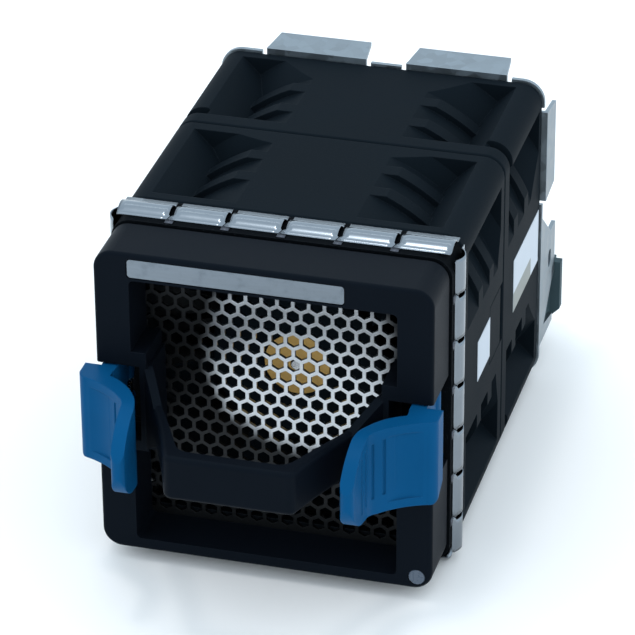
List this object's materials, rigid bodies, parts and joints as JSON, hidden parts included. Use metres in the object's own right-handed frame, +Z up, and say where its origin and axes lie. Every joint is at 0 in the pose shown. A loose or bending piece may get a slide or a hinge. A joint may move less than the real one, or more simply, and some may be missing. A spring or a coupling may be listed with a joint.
{
  "type": "switch fan tray",
  "caption": "Square hot-swap cooling tray: grille bezel with pull handle and squeeze latches, sprung contact strips, axial fans in line and a rear plate with plug.",
  "frame": {"origin": "on the bay floor, on the centre plane, under the bezel's front face", "axes": "+X to the right seen from the front, +Y from the bezel into the chassis, +Z up"},
  "size_m": [0.0837, 0.158, 0.0828],
  "materials": {
    "bezel_plastic": "fine moulded grain, semi matte",
    "nameplate_metal": "satin",
    "light_pipe": "clear, slightly milky",
    "grille_metal": "plated sheet",
    "latch_plastic": "blue, fine grain",
    "spring_steel": "bright",
    "carrier_metal": "black paint",
    "gasket_metal": "rolled stainless",
    "fan_plastic": "moulded, semi matte",
    "screw_steel": "zinc plated",
    "galvanised_sheet": "galvanised sheet",
    "connector_plastic": "moulded",
    "contact_brass": "machined",
    "label_paper": "printed polyester, bare",
    "motor_steel": "stamped",
    "magnet_black": "bonded ferrite",
    "winding_copper": "enamelled copper wire",
    "board_green": "solder mask"
  },
  "bodies": {
    "tray": {"bezel": "bezel_plastic", "bottom_gasket_strip": "gasket_metal", "bracket_rivets": "screw_steel", "carrier_screws": "screw_steel", "connector_bracket": "galvanised_sheet", "connector_contacts": "contact_brass", "connector_housing": "connector_plastic", "front_ball_bearings": "spring_steel", "front_bearing_tube": "contact_brass", "front_fan_frame": "fan_plastic", "front_grille": "grille_metal", "front_motor_board": "board_green", "front_side_label": "label_paper", "front_stator": "motor_steel", "front_windings": "winding_copper", "gasket_carrier": "carrier_metal", "left_gasket_strip": "gasket_metal", "left_latch_pin": "spring_steel", "left_latch_spring": "spring_steel", "nameplate": "nameplate_metal", "rear_ball_bearings": "spring_steel", "rear_bearing_tube": "contact_brass", "rear_fan_frame": "fan_plastic", "rear_motor_board": "board_green", "rear_plate": "galvanised_sheet", "rear_plate_screws": "screw_steel", "rear_side_label": "label_paper", "rear_stator": "motor_steel", "rear_windings": "winding_copper", "right_gasket_strip": "gasket_metal", "right_latch_pin": "spring_steel", "right_latch_spring": "spring_steel", "side_cover": "fan_plastic", "status_light_pipe": "light_pipe", "top_gasket_strip": "gasket_metal"},
    "right_latch": {"right_latch": "latch_plastic"},
    "left_latch": {"left_latch": "latch_plastic"},
    "front_rotor": {"front_impeller": "fan_plastic", "front_hub_boss": "contact_brass", "front_rotor_cup": "motor_steel", "front_magnet_ring": "magnet_black", "front_shaft": "spring_steel", "front_shaft_clip": "spring_steel"},
    "rear_rotor": {"rear_impeller": "fan_plastic", "rear_hub_boss": "contact_brass", "rear_rotor_cup": "motor_steel", "rear_magnet_ring": "magnet_black", "rear_shaft": "spring_steel", "rear_shaft_clip": "spring_steel"}
  },
  "joints": [
    {"name": "front_impeller_spin", "type": "hinge", "parent": "tray", "child": "front_rotor", "pos_m": [0, 0.04, 0.0414], "axis": [0, 1, 0], "continuous": true},
    {"name": "rear_impeller_spin", "type": "hinge", "parent": "tray", "child": "rear_rotor", "pos_m": [0, 0.091, 0.0414], "axis": [0, 1, 0], "continuous": true},
    {"name": "right_latch_hinge", "type": "hinge", "parent": "tray", "child": "right_latch", "pos_m": [0.036, 0.0098, 0.0411], "axis": [0, 0, -1], "range_deg": [0, 7], "stiffness_Nm_per_rad": 0.5, "springref_deg": -8.59},
    {"name": "left_latch_hinge", "type": "hinge", "parent": "tray", "child": "left_latch", "pos_m": [-0.036, 0.0098, 0.0411], "axis": [0, 0, 1], "range_deg": [0, 7], "stiffness_Nm_per_rad": 0.5, "springref_deg": -8.59}
  ]
}
